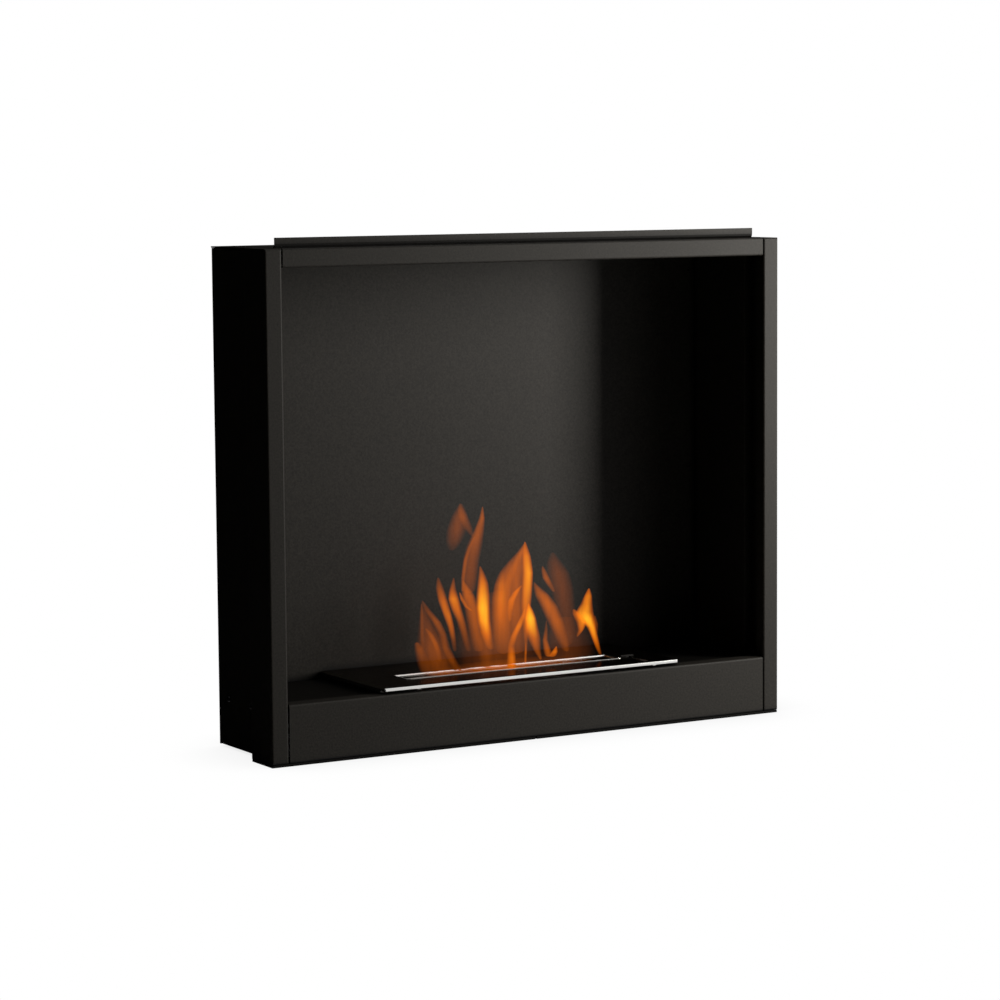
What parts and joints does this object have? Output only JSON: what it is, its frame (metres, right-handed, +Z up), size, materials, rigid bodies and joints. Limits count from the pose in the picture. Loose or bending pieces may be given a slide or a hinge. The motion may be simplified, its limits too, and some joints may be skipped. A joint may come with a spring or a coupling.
{
  "type": "bioethanol fireplace",
  "caption": "Shallow open-fronted bioethanol fireplace in black folded steel, with a lift-out stainless burner whose lid slides over a long flame slot.",
  "frame": {"origin": "middle of the footprint, on the surface that the feet stand on", "axes": "+X to the right as seen from the open front, +Y from the open front to the back, +Z up"},
  "size_m": [0.65, 0.154, 0.557],
  "materials": {
    "powder_coated_steel": "matt black fine-grain powder coat",
    "galvanised_steel": "dull galvanised sheet",
    "rubber_foot": "matt black rubber pad",
    "polished_stainless": "polished stainless steel",
    "brushed_stainless": "brushed stainless steel",
    "ceramic_wool": "soft ceramic fibre",
    "black_screw": "black oxide screw"
  },
  "bodies": {
    "housing": {"top_rail": "powder_coated_steel", "front_sill": "powder_coated_steel", "top_panel": "powder_coated_steel", "back_panel": "powder_coated_steel", "base_panel": "powder_coated_steel", "floor_panel": "powder_coated_steel", "side_wall_left": "powder_coated_steel", "side_wall_right": "powder_coated_steel", "rail_bracket_left": "galvanised_steel", "rail_bracket_right": "galvanised_steel", "sill_bracket_left": "galvanised_steel", "sill_bracket_right": "galvanised_steel", "spill_tray": "galvanised_steel", "foot_front_left": "rubber_foot", "foot_front_right": "rubber_foot", "foot_rear_left": "rubber_foot", "foot_rear_right": "rubber_foot", "top_screw_1": "black_screw", "top_screw_2": "black_screw", "top_screw_3": "black_screw", "top_screw_4": "black_screw", "base_screw_1": "black_screw", "base_screw_2": "black_screw", "base_screw_3": "black_screw", "base_screw_4": "black_screw", "back_screw_1": "black_screw", "back_screw_2": "black_screw", "back_screw_3": "black_screw", "back_screw_4": "black_screw", "back_screw_5": "black_screw", "back_screw_6": "black_screw", "floor_screw_1": "black_screw", "floor_screw_2": "black_screw", "floor_screw_3": "black_screw", "floor_screw_4": "black_screw"},
    "burner": {"burner_cover": "polished_stainless", "slot_collar": "polished_stainless", "fuel_tank": "brushed_stainless", "wool_screen": "brushed_stainless", "wool_pad": "ceramic_wool", "cover_stand_left": "brushed_stainless", "cover_stand_right": "brushed_stainless", "lid_rail_left": "brushed_stainless", "lid_rail_right": "brushed_stainless"},
    "lid": {"lid_plate": "brushed_stainless", "lid_grip": "powder_coated_steel"}
  },
  "joints": [
    {"name": "burner_lift", "type": "slide", "parent": "housing", "child": "burner", "axis": [0, 0, 1], "range_m": [0, 0.1]},
    {"name": "lid_slide", "type": "slide", "parent": "burner", "child": "lid", "axis": [0, -1, 0], "range_m": [0, 0.04]}
  ]
}
